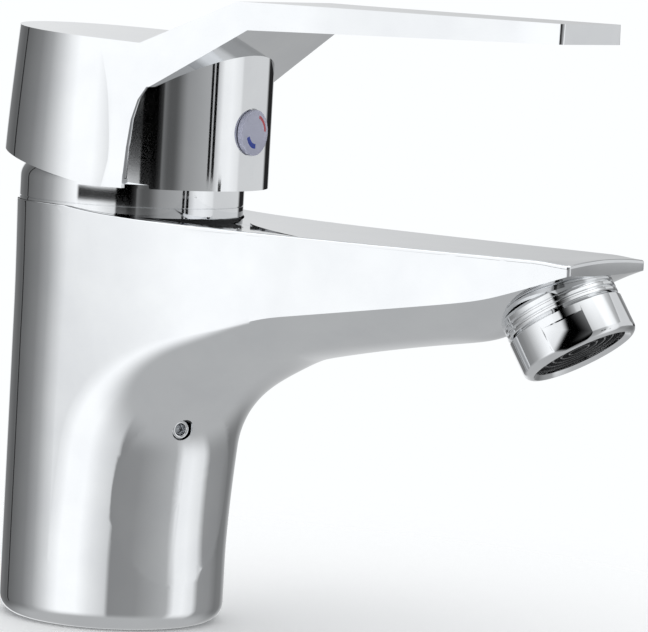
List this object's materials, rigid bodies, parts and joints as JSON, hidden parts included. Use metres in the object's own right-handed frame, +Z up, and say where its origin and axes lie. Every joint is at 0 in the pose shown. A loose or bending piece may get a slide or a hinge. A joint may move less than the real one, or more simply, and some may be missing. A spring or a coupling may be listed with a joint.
{
  "type": "basin mixer faucet",
  "caption": "Single-lever basin mixer with a flat-topped spout, lifting and turning lever handle, ceramic-disc cartridge and tilted screw-on aerator.",
  "frame": {"origin": "centre of the flat deck face under the round column", "axes": "+X along the spout towards the water, +Z up the column, +Y to the right of a user who stands at the basin facing the column"},
  "size_m": [0.1506, 0.0556, 0.1347],
  "materials": {
    "polished_chrome": "mirror-polished chrome plate on cast metal",
    "plain_brass": "turned brass, unplated",
    "bright_steel": "bright stainless steel",
    "black_rubber": "matt black moulded rubber",
    "disc_ceramic": "lapped alumina ceramic",
    "white_plastic": "natural white acetal",
    "grey_plastic": "grey moulded acetal",
    "badge_plastic": "pale lavender-grey gloss plastic with a blue and a red arc"
  },
  "bodies": {
    "fixed": {"body_casting": "polished_chrome", "chain_eyelet": "polished_chrome", "base_gasket": "black_rubber", "cartridge_base": "white_plastic", "cold_port_seal": "black_rubber", "hot_port_seal": "black_rubber", "outlet_port_seal": "black_rubber", "fixed_disc": "disc_ceramic", "cartridge_housing": "white_plastic", "retaining_nut": "plain_brass", "dome_ring": "polished_chrome", "aerator_housing": "polished_chrome", "aerator_insert": "grey_plastic", "aerator_jet_plate": "white_plastic", "aerator_strainer": "bright_steel", "aerator_washer": "black_rubber"},
    "driver": {"cartridge_rotor": "grey_plastic", "rotor_seal": "black_rubber", "spindle_pin": "bright_steel"},
    "lever": {"spindle": "bright_steel", "handle": "polished_chrome", "handle_set_screw": "bright_steel", "index_badge": "badge_plastic"},
    "slider": {"disc_carrier": "grey_plastic", "moving_disc": "disc_ceramic"}
  },
  "joints": [
    {"name": "turn", "type": "hinge", "parent": "fixed", "child": "driver", "pos_m": [0, 0, 0.092], "axis": [0, 0, 1], "range_deg": [-45, 45]},
    {"name": "lift", "type": "hinge", "parent": "driver", "child": "lever", "pos_m": [0, 0, 0.092], "axis": [0, -1, 0], "range_deg": [0, 22]},
    {"name": "disc_slide", "type": "slide", "parent": "driver", "child": "slider", "axis": [1, 0, 0], "range_m": [0, 0.00573]}
  ],
  "couplings": [
    {"joint": "disc_slide", "follows": "lift", "m_per_rad": 0.014908}
  ]
}
